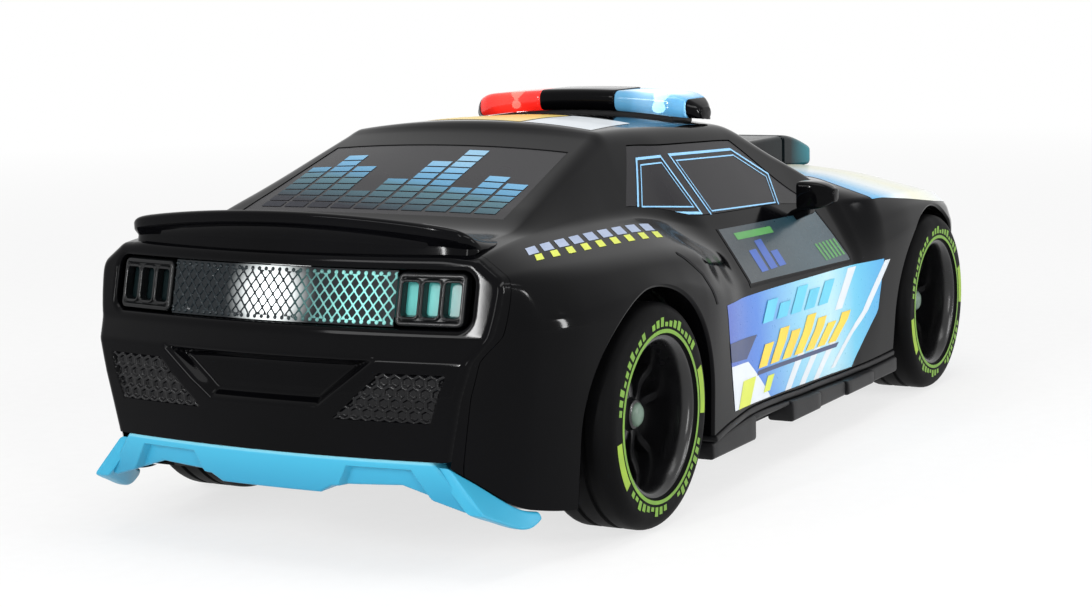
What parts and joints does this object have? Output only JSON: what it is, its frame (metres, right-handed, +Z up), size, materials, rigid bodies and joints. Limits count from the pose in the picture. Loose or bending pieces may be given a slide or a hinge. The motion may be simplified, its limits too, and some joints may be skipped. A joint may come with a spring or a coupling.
{
  "type": "toy police car",
  "caption": "Toy police coupe with a roof light bar, tail lamp panel, ducktail spoiler, bright diffuser, rolling wheelsets and a hood scoop that works as the light and sound button.",
  "frame": {"origin": "on the ground under the middle of the car, at half its length and half its width", "axes": "+X forward along the car, +Y to the car's left, +Z up"},
  "size_m": [0.2, 0.086, 0.0632],
  "materials": {
    "gloss_black": "high gloss moulded ABS with printed graphics",
    "satin_black": "satin moulded ABS",
    "printed_smoke": "dark opaque pane with a printed pattern",
    "cyan_plastic": "mass coloured moulded ABS",
    "tail_reflector": "prism textured light guide",
    "teal_lens": "tinted clear polystyrene",
    "headlamp_lens": "clear polystyrene",
    "red_lens": "red clear polystyrene",
    "blue_lens": "pale blue clear polystyrene",
    "lamp_white": "clear resin lamp",
    "natural_plastic": "undyed acetal",
    "switch_black": "moulded",
    "board_green": "solder mask on laminate",
    "steel": "plated",
    "tyre": "soft moulded tread with printed rings",
    "rim_black": "moulded ABS",
    "hub_green": "printed grey green",
    "cell_sleeve": "plain printed sleeve",
    "speaker_metal": "pressed steel basket"
  },
  "bodies": {
    "car": {"body_shell": "gloss_black", "rear_fascia": "gloss_black", "rear_spoiler": "gloss_black", "front_fascia": "gloss_black", "lightbar_housing": "gloss_black", "mirror_left": "gloss_black", "mirror_right": "gloss_black", "tail_lamp_frames": "satin_black", "front_grille": "satin_black", "lightbar_base": "satin_black", "sill_left": "satin_black", "sill_right": "satin_black", "chassis": "satin_black", "battery_cover": "satin_black", "windscreen": "printed_smoke", "rear_window": "printed_smoke", "side_window_left": "printed_smoke", "side_window_right": "printed_smoke", "rear_diffuser": "cyan_plastic", "front_splitter": "cyan_plastic", "tail_reflector": "tail_reflector", "tail_lamp_lenses": "teal_lens", "headlamp_left": "headlamp_lens", "headlamp_right": "headlamp_lens", "lightbar_lens_red": "red_lens", "lightbar_lens_blue": "blue_lens", "tail_led": "lamp_white", "roof_leds": "lamp_white", "scoop_switch": "switch_black", "switch_board": "board_green", "circuit_board": "board_green", "battery_cover_screw": "steel", "battery_contacts": "steel", "slide_switch": "steel", "chassis_screws": "steel", "batteries": "cell_sleeve", "speaker": "speaker_metal"},
    "front_wheelset": {"axle_front": "steel", "tyre_front_left": "tyre", "tyre_front_right": "tyre", "rim_front_left": "rim_black", "rim_front_right": "rim_black", "hub_cap_front_left": "hub_green", "hub_cap_front_right": "hub_green"},
    "rear_wheelset": {"axle_rear": "steel", "tyre_rear_left": "tyre", "tyre_rear_right": "tyre", "rim_rear_left": "rim_black", "rim_rear_right": "rim_black", "hub_cap_rear_left": "hub_green", "hub_cap_rear_right": "hub_green"},
    "scoop_button": {"hood_scoop": "gloss_black", "switch_plunger": "natural_plastic"},
    "power_switch": {"switch_knob": "switch_black"}
  },
  "joints": [
    {"name": "front_wheels_roll", "type": "hinge", "parent": "car", "child": "front_wheelset", "pos_m": [0.0679, 0, 0.0173], "axis": [0, 1, 0], "continuous": true},
    {"name": "rear_wheels_roll", "type": "hinge", "parent": "car", "child": "rear_wheelset", "pos_m": [-0.0577, 0, 0.0173], "axis": [0, 1, 0], "continuous": true},
    {"name": "scoop_press", "type": "slide", "parent": "car", "child": "scoop_button", "axis": [0, 0, -1], "range_m": [0, 0.002], "stiffness_N_per_m": 400, "springref_m": -0.003},
    {"name": "power_switch_slide", "type": "slide", "parent": "car", "child": "power_switch", "axis": [1, 0, 0], "range_m": [0, 0.003]}
  ]
}
